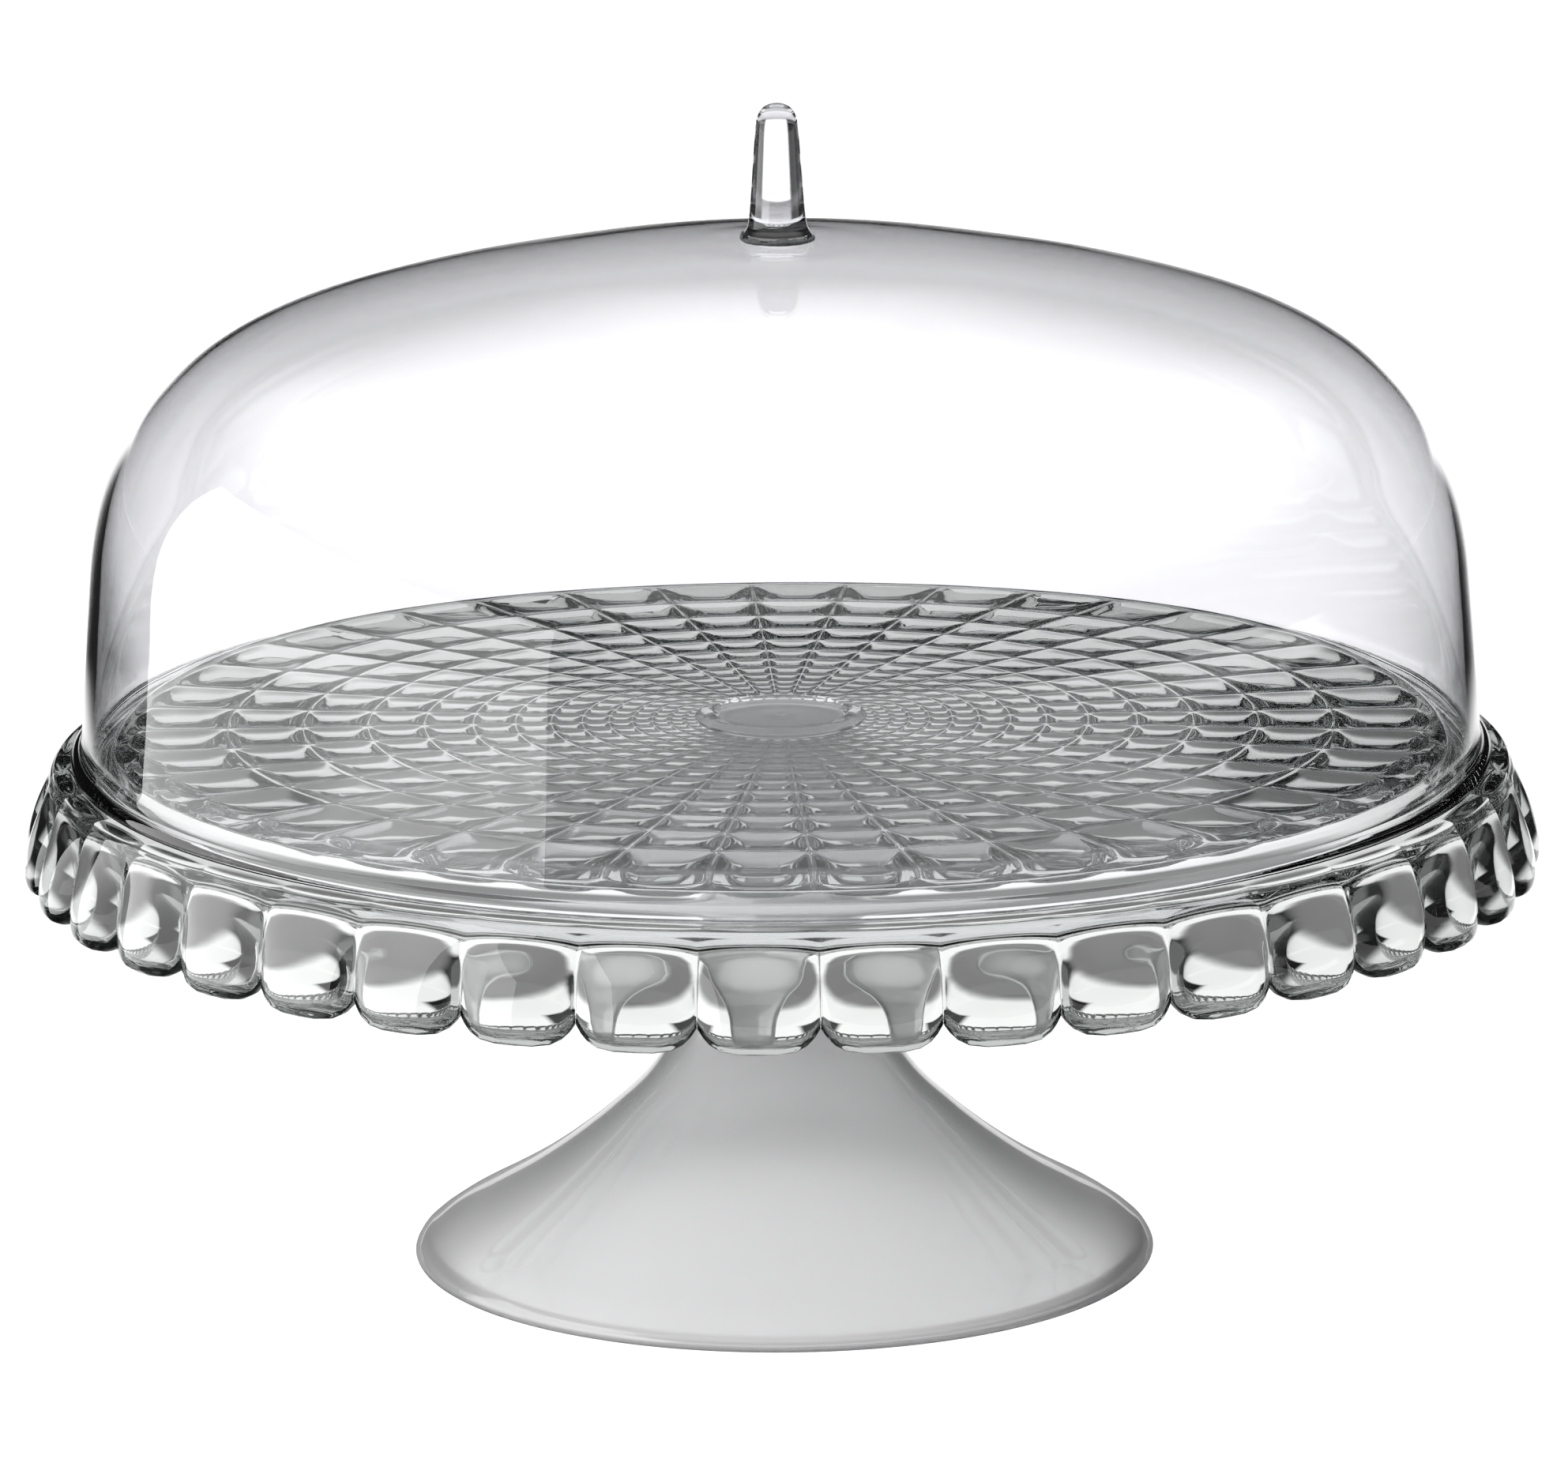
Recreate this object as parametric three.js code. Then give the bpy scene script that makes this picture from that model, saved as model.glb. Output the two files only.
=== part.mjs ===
// Footed cake stand with a lift-off dome, moulded in clear and smoky acrylic.
// Millimetres, +Z up, origin on the table at the centre of the foot.
import * as THREE from "three";

// Pattern shared by the plate's underside cells and the petals of its skirt
const PETALS = 40;
const CELL_ROWS = 14;

// Foot: a hollow trumpet, open at both ends, with its top edge bonded to the plate
const FOOT_TOP_Z = 127.0;
const FOOT_TOP_RADIUS = 18.4;
const FOOT_WALL = 3.0;
const FOOT_RIM_RADIUS = 88.6;

// Plate
const DISC_RADIUS = 19.55;
const DISC_TOP_Z = 133.0;
const RECESS_RADIUS = 15.0;
const RECESS_Z = 132.2;
const CAKE_SURFACE_Z = 132.0;
const UNDERSIDE_Z = 127.3;
const LAST_ROW_RADIUS = 157.5;
const LAST_ROW_Z = 123.0;
const CELL_BULGE = 0.1;
const LEDGE_Z = 123.0;
const LEDGE_UNDERSIDE_Z = 118.0;
const SKIRT_RADIUS = 180.3;
const SKIRT_BOTTOM_Z = 95.7;
const NOTCH_Z = 101.2;

// Dome and knob
const GAP = 0.3;
const DOME_WALL = 2.6;
const DOME_APEX_Z = 246.7;
const DOME_LIP_RADIUS = 168.7;
const KNOB_BASE_RADIUS = 8.4;
const KNOB_TOP_Z = 279.1;

const PLATE_SEGMENTS = 2 * PETALS;
const LATHE_SEGMENTS = 64;
const KNOB_SEGMENTS = 32;

// Builds one closed surface from loops of points that run round the Z axis
class LoopSurface {
  constructor() {
    this.points = [];
    this.faces = [];
  }

  loop(points) {
    const first = this.points.length;
    this.points.push(...points);
    return points.map((_, i) => first + i);
  }

  face(...corners) {
    this.faces.push(...corners);
  }

  // Joins two loops. Their counts are equal, one divides the other, or one is a single point.
  join(from, to) {
    const count = Math.max(from.length, to.length);
    const fromStep = count / from.length;
    const toStep = count / to.length;
    for (let i = 0; i < count; i += 1) {
      const a = from[Math.floor(i / fromStep)];
      const b = to[Math.floor(i / toStep)];
      const nextA = from[Math.floor(((i + 1) % count) / fromStep)];
      const nextB = to[Math.floor(((i + 1) % count) / toStep)];
      if (b !== nextB) {
        this.face(a, b, nextB);
      }
      if (a !== nextA) {
        this.face(a, nextB, nextA);
      }
    }
  }

  joinAll(loops) {
    for (let i = 1; i < loops.length; i += 1) {
      this.join(loops[i - 1], loops[i]);
    }
  }

  geometry() {
    const geometry = new THREE.BufferGeometry();
    const values = this.points.flatMap((p) => [p.x, p.y, p.z]);
    geometry.setAttribute("position", new THREE.Float32BufferAttribute(values, 3));
    geometry.setIndex(this.faces);
    geometry.computeVertexNormals();
    return geometry;
  }
}

function onCircle(radius, z, angle) {
  return new THREE.Vector3(radius * Math.cos(angle), radius * Math.sin(angle), z);
}

// The middle of a petal faces -Y, so the first groove is half a sector before it
const SECTOR = (2 * Math.PI) / PETALS;
const FIRST_GROOVE = -Math.PI / 2 - SECTOR / 2;

function evenLoop(surface, radius, z, count) {
  const points = [];
  for (let i = 0; i < count; i += 1) {
    points.push(onCircle(radius, z, FIRST_GROOVE + (i * 2 * Math.PI) / count));
  }
  return surface.loop(points);
}

// Where a petal's loop has points, as shares of the sector from one groove to the next
const PETAL_STEPS = [0, 0.12, 0.5, 0.88];

function petalLoop(surface, crest, groove) {
  const points = [];
  for (let petal = 0; petal < PETALS; petal += 1) {
    for (const step of PETAL_STEPS) {
      const swell = 1 - Math.abs(2 * step - 1) ** 4;
      const radius = THREE.MathUtils.lerp(groove[0], crest[0], swell);
      const z = THREE.MathUtils.lerp(groove[1], crest[1], swell);
      points.push(onCircle(radius, z, FIRST_GROOVE + (petal + step) * SECTOR));
    }
  }
  return surface.loop(points);
}

function buildPlate() {
  const surface = new LoopSurface();

  // Top: centre disc with its shallow recess, cake surface, rounded shoulder, ledge for the dome
  const top = [
    [RECESS_RADIUS, RECESS_Z],
    [RECESS_RADIUS + 1.2, DISC_TOP_Z],
    [DISC_RADIUS - 0.3, DISC_TOP_Z],
    [DISC_RADIUS + 0.7, CAKE_SURFACE_Z],
    [150.0, CAKE_SURFACE_Z],
    [154.4, 131.5],
    [157.3, 130.1],
    [159.4, 127.8],
    [160.9, 125.1],
    [162.0, 123.5],
    [163.0, LEDGE_Z],
    [171.4, LEDGE_Z],
    [172.7, 122.4],
    [173.5, 121.2],
  ];
  const loops = [surface.loop([new THREE.Vector3(0, 0, RECESS_Z)])];
  for (const [radius, z] of top) {
    loops.push(evenLoop(surface, radius, z, PLATE_SEGMENTS));
  }

  // Skirt: each row gives the petal's crest, then the groove beside it
  const skirt = [
    [[174.3, 118.9], [173.9, 118.6]],
    [[177.0, 113.2], [174.7, 113.0]],
    [[179.3, 107.4], [175.6, 108.4]],
    [[SKIRT_RADIUS, 101.2], [176.3, 104.2]],
    [[179.8, 97.2], [176.2, 102.0]],
    [[177.8, SKIRT_BOTTOM_Z], [175.4, NOTCH_Z]],
    [[174.4, SKIRT_BOTTOM_Z], [173.6, NOTCH_Z]],
    [[172.4, 97.6], [172.4, 102.6]],
    [[171.2, 109.0], [171.2, 109.0]],
    [[170.0, 116.6], [170.0, 116.6]],
    [[168.4, LEDGE_UNDERSIDE_Z], [168.4, LEDGE_UNDERSIDE_Z]],
  ];
  for (const [crest, groove] of skirt) {
    loops.push(petalLoop(surface, crest, groove));
  }

  // Underside: ledge, then up the inside of the shoulder to the outermost row of cells
  loops.push(evenLoop(surface, 159.6, LEDGE_UNDERSIDE_Z, PETALS));
  loops.push(evenLoop(surface, 158.2, 119.2, PETALS));
  loops.push(evenLoop(surface, LAST_ROW_RADIUS, LAST_ROW_Z, PETALS));
  surface.joinAll(loops);

  // Cells: square in plan, each one swelling down from the grooves round it
  const growth = (LAST_ROW_RADIUS / DISC_RADIUS) ** (1 / CELL_ROWS);
  let outer = loops[loops.length - 1];
  let outerZ = LAST_ROW_Z;
  for (let row = CELL_ROWS - 1; row >= 0; row -= 1) {
    const radius = DISC_RADIUS * growth ** row;
    const outerRadius = radius * growth;
    const inner = evenLoop(surface, radius, UNDERSIDE_Z, PETALS);
    const middleRadius = (radius + outerRadius) / 2;
    const middleZ = (outerZ + UNDERSIDE_Z) / 2 - CELL_BULGE * (outerRadius - radius);
    for (let i = 0; i < PETALS; i += 1) {
      const next = (i + 1) % PETALS;
      const angle = FIRST_GROOVE + (i + 0.5) * SECTOR;
      const [middle] = surface.loop([onCircle(middleRadius, middleZ, angle)]);
      surface.face(outer[i], inner[i], middle);
      surface.face(inner[i], inner[next], middle);
      surface.face(inner[next], outer[next], middle);
      surface.face(outer[next], outer[i], middle);
    }
    outer = inner;
    outerZ = UNDERSIDE_Z;
  }
  const centre = surface.loop([new THREE.Vector3(0, 0, UNDERSIDE_Z)]);
  surface.join(outer, centre);
  return surface.geometry();
}

// Turns a half-section into a solid. It starts and ends on the axis, or else closes on itself.
function turned(section, segments) {
  const surface = new LoopSurface();
  const loops = section.map(([radius, z]) =>
    radius === 0
      ? surface.loop([new THREE.Vector3(0, 0, z)])
      : evenLoop(surface, radius, z, segments),
  );
  surface.joinAll(loops);
  if (section[0][0] > 0) {
    surface.join(loops[loops.length - 1], loops[0]);
  }
  return surface.geometry();
}

// The same curve moved inwards by a wall's thickness, listed the other way round
function insideOf(curve, wall) {
  return curve
    .map(([radius, z], i) => {
      const [r0, z0] = curve[Math.max(i - 1, 0)];
      const [r1, z1] = curve[Math.min(i + 1, curve.length - 1)];
      const length = Math.hypot(r1 - r0, z1 - z0);
      return [radius + ((z1 - z0) / length) * wall, z - ((r1 - r0) / length) * wall];
    })
    .reverse();
}

function buildFoot() {
  const flare = [
    [FOOT_TOP_RADIUS, 121.0],
    [18.6, 105.0],
    [19.4, 84.0],
    [21.4, 68.0],
    [25.6, 55.0],
    [32.6, 44.0],
    [41.6, 35.0],
    [51.8, 26.6],
    [62.0, 19.4],
    [72.0, 13.4],
    [80.6, 8.6],
    [85.9, 5.0],
  ];
  const section = [
    [FOOT_TOP_RADIUS - FOOT_WALL, FOOT_TOP_Z],
    [FOOT_TOP_RADIUS - 0.6, FOOT_TOP_Z],
    [FOOT_TOP_RADIUS, FOOT_TOP_Z - 0.8],
    ...flare,
    [FOOT_RIM_RADIUS - 0.6, 2.8],
    [FOOT_RIM_RADIUS, 1.2],
    [87.8, 0],
    [84.6, 0],
    ...insideOf(flare.slice(1), FOOT_WALL),
  ];
  return turned(section, LATHE_SEGMENTS);
}

function buildDome() {
  const crown = [
    [20.0, 246.2],
    [50.0, 243.3],
    [80.0, 238.1],
    [104.0, 232.8],
    [122.0, 227.0],
    [134.8, 220.4],
    [145.0, 212.6],
    [153.2, 203.0],
    [159.0, 191.2],
    [162.3, 177.0],
    [163.8, 160.0],
    [164.9, 143.0],
    [165.9, 129.8],
  ];
  const bottom = LEDGE_Z + GAP;
  const section = [
    [0, DOME_APEX_Z],
    ...crown,
    [166.6, 127.2],
    [DOME_LIP_RADIUS - 0.5, 126.2],
    [DOME_LIP_RADIUS, bottom + 1.2],
    [DOME_LIP_RADIUS - 0.6, bottom],
    [164.4, bottom],
    ...insideOf(crown, DOME_WALL),
    [0, DOME_APEX_Z - DOME_WALL],
  ];
  return turned(section, LATHE_SEGMENTS);
}

function buildKnob() {
  const base = DOME_APEX_Z + GAP;
  const section = [
    [0, KNOB_TOP_Z],
    [1.6, 278.9],
    [3.2, 278.1],
    [4.4, 276.4],
    [5.0, 273.8],
    [5.65, 265.8],
    [6.2, 258.2],
    [6.75, 251.6],
    [7.2, 249.4],
    [8.1, 248.2],
    [KNOB_BASE_RADIUS, base + 0.5],
    [KNOB_BASE_RADIUS - 0.2, base],
    [0, base],
  ];
  return turned(section, KNOB_SEGMENTS);
}

function piece(name, geometry, colour, roughness) {
  const material = new THREE.MeshStandardMaterial({
    color: new THREE.Color(colour),
    roughness,
    metalness: 0,
    transparent: true,
    opacity: 0.45,
  });
  const mesh = new THREE.Mesh(geometry, material);
  mesh.name = name;
  return mesh;
}

const cakeStand = new THREE.Group();
cakeStand.name = "cake_stand";

const stand = new THREE.Group();
stand.name = "stand";
stand.add(piece("foot", buildFoot(), "#b9bbbb", 0.25));
stand.add(piece("plate", buildPlate(), "#d3d6d5", 0.06));
cakeStand.add(stand);

const cover = new THREE.Group();
cover.name = "cover";
cover.add(piece("dome", buildDome(), "#e4e6e8", 0.04));
cover.add(piece("knob", buildKnob(), "#dfe1e2", 0.04));
cakeStand.add(cover);

export default cakeStand;
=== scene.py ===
"""Footed cake stand with a lift-off dome, in clear and smoke-tinted moulded acrylic."""
import math

import bmesh
import bpy
import numpy as np
from mathutils import Matrix, Vector, noise


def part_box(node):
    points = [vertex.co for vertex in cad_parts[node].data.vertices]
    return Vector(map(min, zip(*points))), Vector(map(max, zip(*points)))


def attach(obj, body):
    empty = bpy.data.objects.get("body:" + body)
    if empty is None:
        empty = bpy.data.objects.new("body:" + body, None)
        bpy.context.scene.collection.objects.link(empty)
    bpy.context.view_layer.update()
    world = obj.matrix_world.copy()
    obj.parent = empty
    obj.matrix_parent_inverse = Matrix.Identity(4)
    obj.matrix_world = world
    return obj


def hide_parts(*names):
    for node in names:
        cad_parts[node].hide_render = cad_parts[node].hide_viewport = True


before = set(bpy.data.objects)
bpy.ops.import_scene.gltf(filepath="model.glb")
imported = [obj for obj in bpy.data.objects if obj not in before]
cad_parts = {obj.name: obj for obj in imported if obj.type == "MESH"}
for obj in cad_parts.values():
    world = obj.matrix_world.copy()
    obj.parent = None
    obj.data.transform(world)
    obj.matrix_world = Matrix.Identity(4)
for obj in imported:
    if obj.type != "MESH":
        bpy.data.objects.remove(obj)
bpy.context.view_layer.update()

MM = 0.001

# The petals of the skirt and the cells under the plate share one ring of equal sectors
PETALS = 40
CELL_ROWS = 14
SECTOR = 2 * math.pi / PETALS
FIRST_GROOVE = -math.pi / 2 - SECTOR / 2
# Where one sector has its lines of points, as shares of its width: close together at the grooves
SECTOR_STEPS = (0.0, 0.02, 0.055, 0.11, 0.2, 0.34, 0.5, 0.66, 0.8, 0.89, 0.945, 0.98)


def box_of(node):
    """Outer radius, lowest and highest level of a part of the frame, in millimetres."""
    low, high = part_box(node)
    return high[0] / MM, low[2] / MM, high[2] / MM


SKIRT_RADIUS, SKIRT_BOTTOM, DISC_TOP = box_of("plate")
LIP_RADIUS, LIP_BOTTOM, CROWN_TOP = box_of("dome")
KNOB_BASE_RADIUS, KNOB_BASE, KNOB_TOP = box_of("knob")
RIM_RADIUS, TABLE_LEVEL, FOOT_TOP = box_of("foot")

# Levels and radii of the plate. The foot and the dome each have a 0.3 mm gap to it.
CAKE_SURFACE = DISC_TOP - 1.0
DISC_RECESS = DISC_TOP - 0.8
UNDERSIDE = FOOT_TOP + 0.3
LEDGE = LIP_BOTTOM - 0.3
SHOULDER_FOOT = 118.0
DISC_RADIUS = 19.55
LAST_ROW_RADIUS = 152.0
DOME_WALL = 2.6
FOOT_WALL = 3.0
# A cell swells down by a share of its length, and has flat grooves round it, a share of it wide.
# The edge of the last row runs out further over the middle of each petal, by the scallop.
CELL_SWELL = 0.15
LAST_ROW_SWELL = 0.24
GROOVE = 0.03
SCALLOP = 1.6


# ---------------------------------------------------------------- shaping

def flowing(points, steps):
    """The points joined by a smooth curve through all of them, with that many steps to a span."""
    rows = np.array(points, dtype=float)
    ends = np.vstack([2 * rows[0] - rows[1], rows, 2 * rows[-1] - rows[-2]])
    curve = []
    for i in range(1, len(ends) - 2):
        before, start, end, after = ends[i - 1:i + 3]
        for step in range(steps):
            t = step / steps
            curve.append(
                0.5 * (2 * start + (end - before) * t
                       + (2 * before - 5 * start + 4 * end - after) * t ** 2
                       + (3 * start - before - 3 * end + after) * t ** 3)
            )
    curve.append(rows[-1])
    return np.array(curve)


def inside_of(curve, wall):
    """The same half-section moved inwards by the wall, listed the other way round."""
    along = np.gradient(curve, axis=0)
    along /= np.linalg.norm(along, axis=1)[:, None]
    moved = curve + wall * np.column_stack([along[:, 1], -along[:, 0]])
    return moved[::-1]


def ring(radius, level, angles):
    """A loop of points round the axis. Radius and level may differ from point to point."""
    radius = np.broadcast_to(radius, angles.shape)
    level = np.broadcast_to(level, angles.shape)
    return np.column_stack([radius * np.cos(angles), radius * np.sin(angles), level])


def even_angles(count):
    return FIRST_GROOVE + np.arange(count) * 2 * math.pi / count


def skin(name, loops):
    """A closed mesh from loops that run from one end of the piece to the other, in millimetres."""
    points, faces, starts = [], [], []
    for loop in loops:
        starts.append((len(points), len(loop)))
        points.extend(loop)
    for (a, count_a), (b, count_b) in zip(starts, starts[1:]):
        count = max(count_a, count_b)
        for i in range(count):
            j = (i + 1) % count
            if count_a == 1:
                faces.append((a, b + i, b + j))
            elif count_b == 1:
                faces.append((a + i, b, a + j))
            else:
                faces.append((a + i, b + i, b + j, a + j))
    mesh = bpy.data.meshes.new(name)
    mesh.from_pydata([tuple(p * MM) for p in points], [], faces)
    mesh.shade_smooth()
    mesh.validate()
    piece = bpy.data.objects.new(name, mesh)
    bpy.context.scene.collection.objects.link(piece)
    return piece


def turned(name, section, count):
    """A turned piece from a half-section that starts and ends on the axis or closes on itself."""
    angles = even_angles(count)
    loops = [
        np.array([[0.0, 0.0, level]]) if radius <= 0 else ring(radius, level, angles)
        for radius, level in section
    ]
    if section[0][0] > 0:
        loops.append(loops[0])
    piece = skin(name, loops)
    if section[0][0] > 0:
        weld(piece)
    return piece


def weld(piece):
    """Joins the points of a piece that lie on each other."""
    work = bmesh.new()
    work.from_mesh(piece.data)
    bmesh.ops.remove_doubles(work, verts=work.verts, dist=0.002 * MM)
    work.to_mesh(piece.data)
    work.free()
    piece.data.shade_smooth()


# ---------------------------------------------------------------- pieces

def sector_angles():
    """The angles of one loop round the plate, and how far across its sector each one lies."""
    shares = np.tile(SECTOR_STEPS, PETALS)
    sectors = np.repeat(np.arange(PETALS), len(SECTOR_STEPS))
    return FIRST_GROOVE + (sectors + shares) * SECTOR, shares


def pillow(across, power):
    """0 at both sides of a cell or petal and 1 over its middle."""
    return 1 - np.abs(2 * across - 1) ** power


def make_plate():
    """One moulding: flat cake surface, pillow cells under it, shoulder, ledge and petal skirt."""
    angles, across = sector_angles()
    loops = [np.array([[0.0, 0.0, DISC_RECESS]])]

    # A small gate mark, where the plastic entered the mould, in the recess at the centre
    top = [
        (0.9, DISC_RECESS), (1.1, DISC_RECESS - 0.2), (1.6, DISC_RECESS - 0.2),
        (1.9, DISC_RECESS), (7.0, DISC_RECESS), (14.4, DISC_RECESS), (15.0, DISC_TOP - 0.7),
        (15.8, DISC_TOP - 0.15), (16.3, DISC_TOP), (18.9, DISC_TOP), (19.3, DISC_TOP - 0.1),
        (20.0, CAKE_SURFACE + 0.1), (20.6, CAKE_SURFACE), (60.0, CAKE_SURFACE),
        (110.0, CAKE_SURFACE), (146.0, CAKE_SURFACE),
    ]
    shoulder = flowing([
        (150.0, CAKE_SURFACE), (154.4, CAKE_SURFACE - 0.5), (157.3, CAKE_SURFACE - 1.9),
        (159.4, CAKE_SURFACE - 4.2), (160.9, CAKE_SURFACE - 6.9), (162.0, LEDGE + 0.6),
        (163.2, LEDGE),
    ], 4)
    ledge = [(165.0, LEDGE), (170.6, LEDGE)]
    edge = flowing([(171.4, LEDGE - 0.1), (172.6, LEDGE - 0.6), (173.4, LEDGE - 1.7)], 3)
    for radius, level in [*top, *shoulder, *ledge, *edge]:
        loops.append(ring(radius, level, angles))

    # Skirt: petal crest and the groove beside it, down the outside, under, and up the inside
    skirt = flowing([
        (173.7, 120.4, 173.6, 120.2),
        (174.4, 118.6, 173.9, 118.5),
        (176.0, 115.2, 174.5, 115.2),
        (177.7, 111.4, 175.0, 111.6),
        (179.1, 107.4, 175.5, 108.4),
        (180.0, 103.6, 175.9, 105.8),
        (SKIRT_RADIUS, 100.4, 176.2, 103.8),
        (180.1, 97.9, 176.2, 102.4),
        (179.2, 96.3, 175.9, 101.6),
        (177.6, SKIRT_BOTTOM, 175.4, 101.3),
        (174.8, SKIRT_BOTTOM, 174.2, 101.3),
        (172.6, 96.4, 173.0, 101.8),
        (170.6, 98.4, 171.9, 103.2),
        (168.6, 102.8, 171.2, 106.2),
        (167.8, 108.0, 170.8, 110.0),
        (168.2, 113.0, 170.4, 113.6),
        (168.2, 116.6, 169.4, 116.8),
        (166.4, SHOULDER_FOOT, 166.8, SHOULDER_FOOT),
    ], 3)
    for crest_radius, crest_level, groove_radius, groove_level in skirt:
        round_swell = pillow(across, 2.3)
        flat_swell = pillow(across, 4.5)
        radius = groove_radius + (crest_radius - groove_radius) * round_swell
        level = groove_level + (crest_level - groove_level) * flat_swell
        loops.append(ring(radius, level, angles))
    for radius, level in [
        (163.0, SHOULDER_FOOT), (160.4, SHOULDER_FOOT), (159.2, SHOULDER_FOOT + 0.4),
        (158.4, 120.0), (157.6, 124.0), (156.8, UNDERSIDE - 0.6), (156.0, UNDERSIDE),
    ]:
        loops.append(ring(radius, level, angles))

    # Cells, from the shoulder inwards. The edge of the last row follows the petals.
    growth = (LAST_ROW_RADIUS / DISC_RADIUS) ** (1 / CELL_ROWS)
    down_row = (0.0, 0.02, 0.055, 0.12, 0.22, 0.36, 0.5, 0.64, 0.78, 0.88, 0.945, 0.98)
    between_grooves = np.clip((across - GROOVE) / (1 - 2 * GROOVE), 0, 1)
    for row in range(CELL_ROWS - 1, -1, -1):
        inner = DISC_RADIUS * growth ** row
        outer = inner * growth
        last = row == CELL_ROWS - 1
        scallop = SCALLOP * pillow(across, 2.0) if last else 0.0
        height = (LAST_ROW_SWELL if last else CELL_SWELL) * (outer - inner)
        for share in down_row:
            radius = outer + scallop * (1 - share) - (outer - inner) * share
            along = min(max((share - GROOVE) / (1 - 2 * GROOVE), 0), 1)
            swell = pillow(between_grooves, 4.5) * pillow(along, 4.5)
            loops.append(ring(radius, UNDERSIDE - height * swell, angles))
    loops.append(ring(DISC_RADIUS, UNDERSIDE, angles))
    loops.append(np.array([[0.0, 0.0, UNDERSIDE]]))
    return skin("plate_moulding", loops)


def make_foot():
    """A hollow trumpet, open at both ends, that the plate sits on."""
    flare = flowing([
        (18.4, FOOT_TOP - 1.5), (18.5, 112.0), (18.8, 98.0), (19.4, 84.0), (21.4, 68.0),
        (25.6, 55.0), (32.6, 44.0), (41.6, 35.0), (51.8, 26.6), (62.0, 19.4), (72.0, 13.4),
        (80.6, 8.6), (85.9, 5.0),
    ], 6)
    rim = flowing([
        (87.6, 3.5), (RIM_RADIUS, 1.6), (88.1, 0.4), (86.8, TABLE_LEVEL), (84.8, TABLE_LEVEL),
        (83.9, 0.6),
    ], 4)
    seat = [(16.0, FOOT_TOP), (17.8, FOOT_TOP), (18.2, FOOT_TOP - 0.4)]
    lining = inside_of(flare, FOOT_WALL)
    section = [*seat, *map(tuple, flare), *map(tuple, rim), *map(tuple, lining)]
    return turned("foot_trumpet", [(float(r), max(float(z), TABLE_LEVEL)) for r, z in section], 160)


def make_dome():
    """A thin shell with a wide low crown, straight walls that lean in, and a turned-out lip."""
    crown = flowing([
        (0.0, CROWN_TOP), (24.0, CROWN_TOP - 0.75), (50.0, CROWN_TOP - 3.2),
        (78.0, CROWN_TOP - 8.0), (102.0, CROWN_TOP - 13.6), (121.0, CROWN_TOP - 19.6),
        (134.8, CROWN_TOP - 26.3), (145.0, CROWN_TOP - 34.2), (153.2, CROWN_TOP - 43.8),
        (159.0, CROWN_TOP - 55.6), (162.3, CROWN_TOP - 69.6), (163.8, CROWN_TOP - 86.6),
        (164.9, CROWN_TOP - 103.6), (165.9, CROWN_TOP - 116.8),
    ], 8)
    lip = flowing([
        (166.6, LIP_BOTTOM + 3.9), (168.0, LIP_BOTTOM + 3.0), (LIP_RADIUS, LIP_BOTTOM + 1.6),
        (168.4, LIP_BOTTOM + 0.3), (167.4, LIP_BOTTOM), (165.0, LIP_BOTTOM),
        (163.9, LIP_BOTTOM + 0.5),
    ], 4)
    lining = inside_of(crown, DOME_WALL)
    lining[-1] = (0.0, CROWN_TOP - DOME_WALL)
    section = [(float(r), float(z)) for r, z in [*crown, *lip, *lining]]
    return turned("dome_shell", section, 240)


def make_knob():
    """A solid tapered post with a rounded head and a base that spreads onto the crown."""
    outline = flowing([
        (0.0, KNOB_TOP), (1.7, KNOB_TOP - 0.2), (3.3, KNOB_TOP - 1.05), (4.5, KNOB_TOP - 2.8),
        (5.05, KNOB_TOP - 5.4), (5.35, KNOB_TOP - 9.0), (5.65, KNOB_TOP - 13.3),
        (5.95, KNOB_TOP - 17.4), (6.2, KNOB_TOP - 21.0), (6.45, KNOB_TOP - 24.4),
        (6.75, KNOB_BASE + 4.7), (7.1, KNOB_BASE + 2.9), (7.8, KNOB_BASE + 1.5),
        (KNOB_BASE_RADIUS, KNOB_BASE + 0.5), (8.2, KNOB_BASE), (7.0, KNOB_BASE),
    ], 5)
    section = [(float(max(r, 0.0)), float(z)) for r, z in outline]
    section.append((0.0, KNOB_BASE))
    return turned("knob_post", section, 96)


def make_glue_ring():
    """The ragged line of cured glue between knob and crown, which has crept up round the base."""
    angles = even_angles(144)
    ragged = np.array([
        noise.noise(Vector((3.1 * math.cos(a), 3.1 * math.sin(a), 0.4)))
        + 0.5 * noise.noise(Vector((9.0 * math.cos(a), 9.0 * math.sin(a), 7.0)))
        for a in angles
    ])
    inner, outer = 5.6 + 0.5 * ragged, KNOB_BASE_RADIUS + 0.45 + 0.3 * ragged
    low, high = CROWN_TOP + 0.02, KNOB_BASE - 0.02
    crept_up = KNOB_BASE + 0.75 + 0.9 * ragged
    loops = [
        ring(inner, high, angles),
        ring(KNOB_BASE_RADIUS - 0.3, high, angles),
        ring(KNOB_BASE_RADIUS + 0.05, KNOB_BASE + 0.45, angles),
        ring(outer - 0.45, crept_up, angles),
        ring(outer, high + 0.3, angles),
        ring(outer - 0.1, low - 0.08, angles),
        ring(inner, low, angles),
        ring(inner, high, angles),
    ]
    piece = skin("knob_glue_line", loops)
    weld(piece)
    return piece


# ---------------------------------------------------------------- finishes

def linear(colour):
    """An sRGB hex colour as linear light, with alpha."""
    shares = [int(colour[i:i + 2], 16) / 255 for i in (1, 3, 5)]
    light = [s / 12.92 if s <= 0.04045 else ((s + 0.055) / 1.055) ** 2.4 for s in shares]
    return (*light, 1.0)


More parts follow.
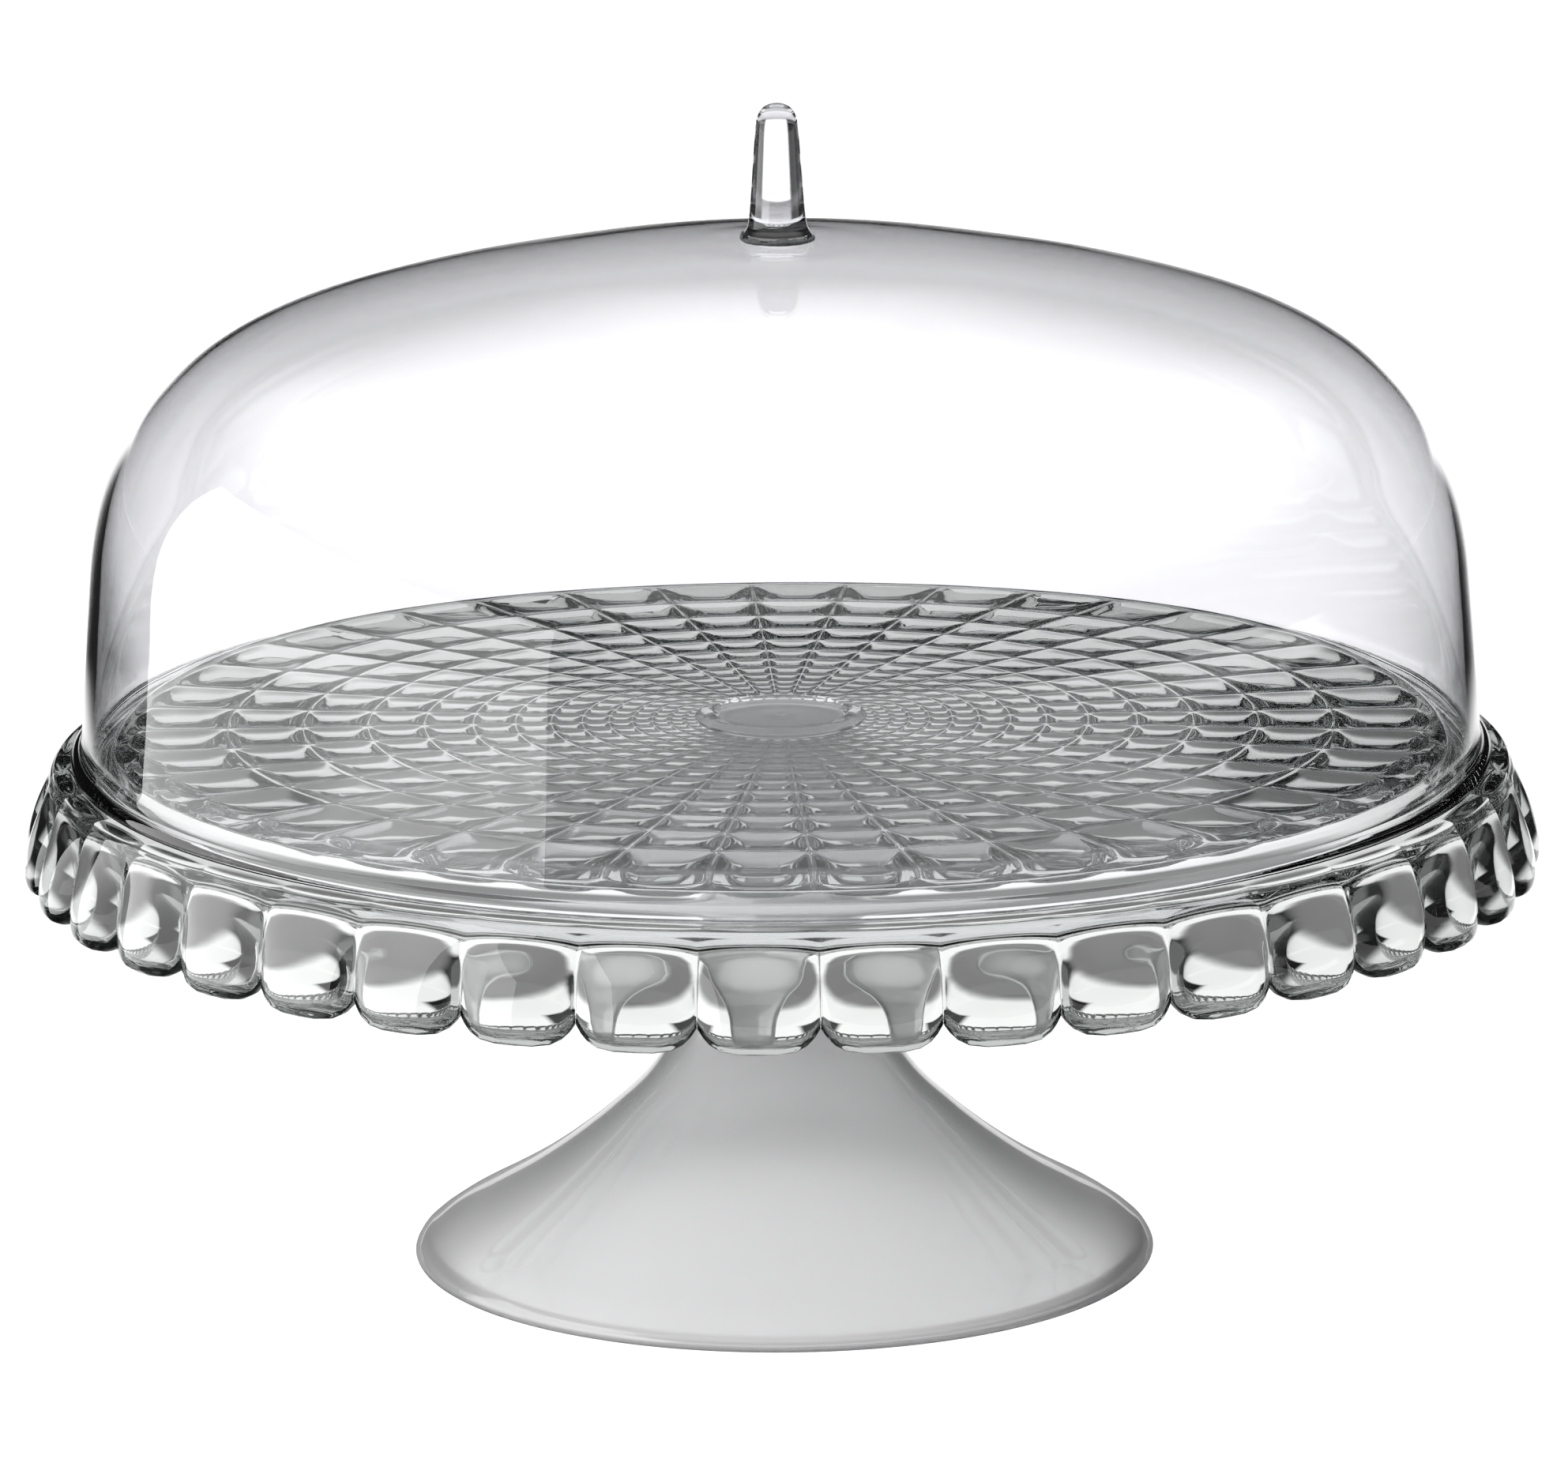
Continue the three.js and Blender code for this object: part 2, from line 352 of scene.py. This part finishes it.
def add_node(tree, kind, settings=None, links=None):
    """Adds one node, sets its own values and its inputs, and links the sockets that feed it."""
    node = tree.nodes.new(kind)
    for name, value in (settings or {}).items():
        if isinstance(name, int) or name in node.inputs:
            node.inputs[name].default_value = value
        else:
            setattr(node, name, value)
    for name, socket in (links or {}).items():
        tree.links.new(socket, node.inputs[name])
    return node


def new_finish(name):
    finish = bpy.data.materials.new(name)
    finish.use_nodes = True
    finish.node_tree.nodes.clear()
    return finish, finish.node_tree


def moulded_acrylic(name, tint, most_haze, flow_height, smoke=None, satin_disc=None):
    """Injection-moulded acrylic (PMMA), IOR 1.49, polished by the mould.

    Wiping leaves faint hazy patches 20 to 40 mm across with finer streaks in them, and the melt
    leaves slow waves in the surface, which make reflections waver. Smoke acrylic is greyer the
    further light goes through it, so the smoke, a colour and a density, is in its depth. A satin
    disc, given by its radius in metres, was left rough by the mould and looks frosted.
    """
    finish, tree = new_finish(name)
    place = add_node(tree, "ShaderNodeTexCoord")
    patches = add_node(
        tree, "ShaderNodeTexNoise", {"Scale": 32.0, "Detail": 3.0, "Roughness": 0.6},
        {"Vector": place.outputs["Object"]},
    )
    haze = add_node(
        tree, "ShaderNodeMapRange",
        {"From Min": 0.35, "From Max": 0.75, "To Min": 0.0, "To Max": most_haze},
        {"Value": patches.outputs["Fac"]},
    )
    if satin_disc:
        flat = add_node(
            tree, "ShaderNodeVectorMath", {"operation": "MULTIPLY", 1: (1.0, 1.0, 0.0)},
            {0: place.outputs["Object"]},
        )
        reach = add_node(
            tree, "ShaderNodeVectorMath", {"operation": "LENGTH"}, {0: flat.outputs["Vector"]}
        )
        satin = add_node(
            tree, "ShaderNodeMapRange",
            {"From Min": satin_disc, "From Max": satin_disc + 0.0006, "To Min": 0.4, "To Max": 0.0},
            {"Value": reach.outputs["Value"]},
        )
        haze = add_node(
            tree, "ShaderNodeMath", {"operation": "MAXIMUM"},
            {0: haze.outputs["Result"], 1: satin.outputs["Result"]},
        )
    waves = add_node(
        tree, "ShaderNodeTexNoise", {"Scale": 22.0, "Detail": 1.0},
        {"Vector": place.outputs["Object"]},
    )
    surface = add_node(
        tree, "ShaderNodeBump", {"Strength": 1.0, "Distance": flow_height},
        {"Height": waves.outputs["Fac"]},
    )
    acrylic = add_node(
        tree, "ShaderNodeBsdfPrincipled",
        {"Base Color": linear(tint), "IOR": 1.49, "Transmission Weight": 1.0},
        {"Roughness": haze.outputs[0], "Normal": surface.outputs["Normal"]},
    )
    out = add_node(tree, "ShaderNodeOutputMaterial", None, {"Surface": acrylic.outputs["BSDF"]})
    if smoke:
        colour, density = smoke
        inner = add_node(
            tree, "ShaderNodeVolumeAbsorption", {"Color": linear(colour), "Density": density}
        )
        tree.links.new(inner.outputs["Volume"], out.inputs["Volume"])
    return finish


def satin_acrylic():
    """The foot's acrylic: pale and milky, so it glows evenly and nothing shows through the flare.

    The milkiness drifts a little from place to place, in clouds 30 to 60 mm across. Under a
    glossy outer skin the acrylic is satin up to 50 mm above the table and clear from 100 mm up,
    so light comes through the neck more sharply than through the flare.
    """
    finish, tree = new_finish("milky_grey_acrylic")
    place = add_node(tree, "ShaderNodeTexCoord")
    clouds = add_node(
        tree, "ShaderNodeTexNoise", {"Scale": 18.0, "Detail": 2.0, "Roughness": 0.45},
        {"Vector": place.outputs["Object"]},
    )
    shade = add_node(
        tree, "ShaderNodeMix",
        {"data_type": "RGBA", 6: linear("#f0f0f1"), 7: linear("#f8f8f9")},
        {"Factor": clouds.outputs["Fac"]},
    )
    apart = add_node(tree, "ShaderNodeSeparateXYZ", None, {"Vector": place.outputs["Object"]})
    satin = add_node(
        tree, "ShaderNodeMapRange",
        {"interpolation_type": "SMOOTHSTEP", "From Min": 0.05, "From Max": 0.1,
         "To Min": 0.24, "To Max": 0.02},
        {"Value": apart.outputs["Z"]},
    )
    gloss = add_node(
        tree, "ShaderNodeMath", {"operation": "MULTIPLY_ADD", 1: 0.04},
        {0: clouds.outputs["Fac"], 2: satin.outputs["Result"]},
    )
    acrylic = add_node(
        tree, "ShaderNodeBsdfPrincipled",
        {"IOR": 1.49, "Transmission Weight": 0.7, "Coat Weight": 0.6, "Coat Roughness": 0.05},
        {"Base Color": shade.outputs[2], "Roughness": gloss.outputs["Value"]},
    )
    add_node(tree, "ShaderNodeOutputMaterial", None, {"Surface": acrylic.outputs["BSDF"]})
    return finish


def cured_glue():
    """Solvent cement, dried grey and uneven, with tiny trapped bubbles that dull it."""
    finish, tree = new_finish("cured_acrylic_cement")
    place = add_node(tree, "ShaderNodeTexCoord")
    bubbles = add_node(
        tree, "ShaderNodeTexNoise", {"Scale": 900.0, "Detail": 2.0},
        {"Vector": place.outputs["Object"]},
    )
    shade = add_node(
        tree, "ShaderNodeMix",
        {"data_type": "RGBA", 6: linear("#3c3e40"), 7: linear("#7c7f80")},
        {"Factor": bubbles.outputs["Fac"]},
    )
    cement = add_node(
        tree, "ShaderNodeBsdfPrincipled", {"Roughness": 0.35, "IOR": 1.45},
        {"Base Color": shade.outputs[2]},
    )
    add_node(tree, "ShaderNodeOutputMaterial", None, {"Surface": cement.outputs["BSDF"]})
    return finish


# ---------------------------------------------------------------- the object

clear_acrylic = moulded_acrylic("clear_moulded_acrylic", "#fbfbfd", 0.004, 0.000015)
knob_acrylic = moulded_acrylic("clear_turned_acrylic", "#fbfbfd", 0.006, 0.000015)
smoke_acrylic = moulded_acrylic(
    "smoke_moulded_acrylic", "#f7f8f7", 0.006, 0.00001, smoke=("#c9cccb", 40.0), satin_disc=0.0144
)
foot_acrylic = satin_acrylic()

for piece, finish, body, node, slot in (
    (make_foot(), foot_acrylic, "stand", "foot", "foot_acrylic"),
    (make_plate(), smoke_acrylic, "stand", "plate", "plate_acrylic"),
    (make_dome(), clear_acrylic, "cover", "dome", "dome_acrylic"),
    (make_knob(), knob_acrylic, "cover", "knob", "knob_acrylic"),
    (make_glue_ring(), cured_glue(), "cover", None, "knob_acrylic"),
):
    piece.data.materials.append(finish)
    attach(piece, body)
    if node:
        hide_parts(node)


# ---------------------------------------------------------------- studio

# Brightness of the lit white, the black of the dark room and of the black boards painted as shade
# on the card, the card's grey painted shadow, and its darker painted shade in front
WHITE = 1.2
SHADOW = 0.015
PAINTED_PLATE_SHADOW = 0.28
PAINTED_FRONT_SHADE = 0.06


def stage_mesh(name, points, faces, finish, seen_by_camera=True):
    """A plain mesh of the studio, which isn't part of the object."""
    mesh = bpy.data.meshes.new(name)
    mesh.from_pydata(points, [], faces)
    mesh.materials.append(finish)
    thing = bpy.data.objects.new(name, mesh)
    bpy.context.scene.collection.objects.link(thing)
    thing.visible_camera = seen_by_camera
    return thing


def lit_white(name, strength):
    """White translucent acrylic sheet, lit evenly from behind."""
    finish, tree = new_finish(name)
    glow = add_node(
        tree, "ShaderNodeEmission", {"Color": (1.0, 1.0, 1.0, 1.0), "Strength": strength}
    )
    add_node(tree, "ShaderNodeOutputMaterial", None, {"Surface": glow.outputs["Emission"]})
    return finish, tree, glow


def make_floor():
    """A wide pale table, lit from below, and a low white wall far round it."""
    half = 40.0
    corners = [(-half, -half, 0), (half, -half, 0), (half, half, 0), (-half, half, 0)]
    floor = stage_mesh("studio_floor", corners, [(0, 1, 2, 3)], lit_white("lit_table", WHITE)[0])
    floor.location.z = -0.0006

    count, reach, height = 48, 16.0, 3.0
    turns = np.arange(count) * 2 * math.pi / count
    points = [
        (reach * math.cos(a), reach * math.sin(a), level) for level in (0.0, height) for a in turns
    ]
    faces = [(i, (i + 1) % count, count + (i + 1) % count, count + i) for i in range(count)]
    wall = stage_mesh("studio_wall", points, faces, lit_white("lit_wall", WHITE)[0])
    wall.visible_glossy = False
    wall.visible_transmission = False
    wall.visible_diffuse = False


def make_painted_shade_card():
    """The card under the stand, which only shows through the clear pieces and in their gloss.

    It carries painted shade: a grey painted shadow under the plate, darker painted shade in front,
    and black painted shade at both sides, standing in for two black boards, so that clear edges
    read dark. Light comes up through a round window under the foot. Everything else on it is as
    white as the table.
    """
    count, reaches = 96, (0.05, 0.3, 0.5, 0.8, 1.6, 38.0)
    turns = np.arange(count) * 2 * math.pi / count
    points = [(r * math.cos(a), r * math.sin(a), 0.0) for r in reaches for a in turns]
    faces = [tuple(range(count))]
    for k in range(len(reaches) - 1):
        for i in range(count):
            j = (i + 1) % count
            faces.append((k * count + i, (k + 1) * count + i, (k + 1) * count + j, k * count + j))

    finish, tree, glow = lit_white("painted_shade_card", WHITE)
    place = add_node(tree, "ShaderNodeNewGeometry")
    apart = add_node(tree, "ShaderNodeSeparateXYZ", None, {"Vector": place.outputs["Position"]})
    reach = add_node(
        tree, "ShaderNodeVectorMath", {"operation": "LENGTH"}, {0: place.outputs["Position"]}
    ).outputs["Value"]
    # 1 straight behind the stand, 0 at its sides, -1 in front
    facing = add_node(
        tree, "ShaderNodeMath", {"operation": "DIVIDE"}, {0: apart.outputs["Y"], 1: reach}
    ).outputs["Value"]

    # Where each part of the card fades in or out: what it goes by, from, to, and if it fades out
    fades = {
        "behind": (facing, 0.9, 0.94, False),
        "before": (facing, -0.45, -0.2, True),
        "sideways": (facing, 0.12, 0.25, True),
        "onward": (facing, 0.35, 0.55, False),
        "forward": (facing, -0.3, -0.1, True),
        "beyond": (reach, 1.5, 1.7, False),
        "not_far": (reach, 0.62, 0.75, True),
        "near": (reach, 0.38, 0.46, True),
        "past_plate_shadow": (reach, 0.17, 0.25, False),
    }
    share = {}
    for part, (measure, start, end, out) in fades.items():
        fade = add_node(
            tree, "ShaderNodeMapRange",
            {"interpolation_type": "SMOOTHSTEP", "From Min": start, "From Max": end,
             "To Min": 1.0 if out else 0.0, "To Max": 0.0 if out else 1.0},
            {"Value": measure},
        )
        share[part] = fade.outputs["Result"]
    for part, operation, first, second in (
        ("open_way", "MAXIMUM", "behind", "before"),
        ("far_way", "MULTIPLY", "beyond", "sideways"),
        ("near_way", "MULTIPLY", "not_far", "onward"),
        ("clear_way", "MAXIMUM", "open_way", "far_way"),
        ("white_way", "MAXIMUM", "clear_way", "near_way"),
        ("front", "MULTIPLY", "forward", "near"),
    ):
        joined = add_node(
            tree, "ShaderNodeMath", {"operation": operation}, {0: share[first], 1: share[second]}
        )
        share[part] = joined.outputs["Value"]

    # Painted shade: the card is black at both sides, standing in for black boards, and white
    # elsewhere
    outer = add_node(
        tree, "ShaderNodeMapRange", {"To Min": SHADOW, "To Max": WHITE},
        {"Value": share["white_way"]},
    )
    # Painted shadow: grey under the plate, where its shadow would fall on the table
    with_plate_shadow = add_node(
        tree, "ShaderNodeMix", {"data_type": "FLOAT", 2: PAINTED_PLATE_SHADOW},
        {0: share["past_plate_shadow"], 3: outer.outputs["Result"]},
    )
    # Painted shade: darker again on the card's front half, in front of the stand
    with_front = add_node(
        tree, "ShaderNodeMix", {"data_type": "FLOAT", 3: PAINTED_FRONT_SHADE},
        {0: share["front"], 2: with_plate_shadow.outputs[0]},
    )
    past_window = add_node(
        tree, "ShaderNodeMapRange", {"From Min": 0.078, "From Max": 0.084}, {"Value": reach}
    )
    with_window = add_node(
        tree, "ShaderNodeMix", {"data_type": "FLOAT", 2: WHITE},
        {0: past_window.outputs["Result"], 3: with_front.outputs[0]},
    )
    tree.links.new(with_window.outputs[0], glow.inputs["Strength"])
    card = stage_mesh("painted_shade_card", points, faces, finish, seen_by_camera=False)
    card.location.z = -0.0003


def light_the_room():
    """A dark room above the table's edge, under a wide white ceiling."""
    world = bpy.data.worlds.new("studio")
    bpy.context.scene.world = world
    world.use_nodes = True
    tree = world.node_tree
    tree.nodes.clear()
    towards = add_node(tree, "ShaderNodeTexCoord")
    apart = add_node(tree, "ShaderNodeSeparateXYZ", None, {"Vector": towards.outputs["Generated"]})
    ceiling = add_node(
        tree, "ShaderNodeMapRange",
        {"interpolation_type": "SMOOTHSTEP", "From Min": math.sin(math.radians(20)),
         "From Max": math.sin(math.radians(38)), "To Min": SHADOW, "To Max": WHITE},
        {"Value": apart.outputs["Z"]},
    )
    sky = add_node(
        tree, "ShaderNodeBackground", {"Color": (1.0, 1.0, 1.0, 1.0)},
        {"Strength": ceiling.outputs["Result"]},
    )
    add_node(tree, "ShaderNodeOutputWorld", None, {"Surface": sky.outputs["Background"]})


def add_softbox():
    """One wide softbox on the left, whose reflection lies on the dome as a pale veil."""
    width, height, brightness = 0.7, 0.34, 3.0
    light = bpy.data.lights.new("left_softbox", "AREA")
    light.shape = "RECTANGLE"
    light.size = width
    light.size_y = height
    light.energy = brightness * math.pi * width * height
    softbox = bpy.data.objects.new("left_softbox", light)
    bpy.context.scene.collection.objects.link(softbox)
    softbox.location = (-0.38, -0.26, height / 2 + 0.005)
    softbox.rotation_euler = (math.radians(90), 0, math.radians(-90))
    softbox.visible_camera = False
    softbox.visible_transmission = False


def place_camera():
    """A long lens in front, 13 degrees above the level, a little to the right of a petal."""
    azimuth, elevation = math.radians(1.75), math.radians(13.3)
    distance, lean = 2.5, math.radians(0.4)
    aim = Vector((0.0007, 0.0, 0.1255))
    back = Vector((
        math.sin(azimuth) * math.cos(elevation),
        -math.cos(azimuth) * math.cos(elevation),
        math.sin(elevation),
    ))
    lens = bpy.data.cameras.new("camera")
    lens.sensor_width = 36.0
    lens.lens = 241.4
    lens.clip_end = 100.0
    camera = bpy.data.objects.new("camera", lens)
    bpy.context.scene.collection.objects.link(camera)
    turn = (-back).to_track_quat("-Z", "Y").to_matrix().to_4x4()
    camera.matrix_world = (
        Matrix.Translation(aim + back * distance) @ turn @ Matrix.Rotation(-lean, 4, "Z")
    )
    bpy.context.scene.camera = camera


make_floor()
make_painted_shade_card()
light_the_room()
add_softbox()
place_camera()

scene = bpy.context.scene
scene.view_settings.view_transform = "Standard"
scene.cycles.max_bounces = 32
scene.cycles.transmission_bounces = 32
scene.cycles.glossy_bounces = 12
scene.cycles.transparent_max_bounces = 16
scene.cycles.caustics_reflective = True
scene.cycles.caustics_refractive = True
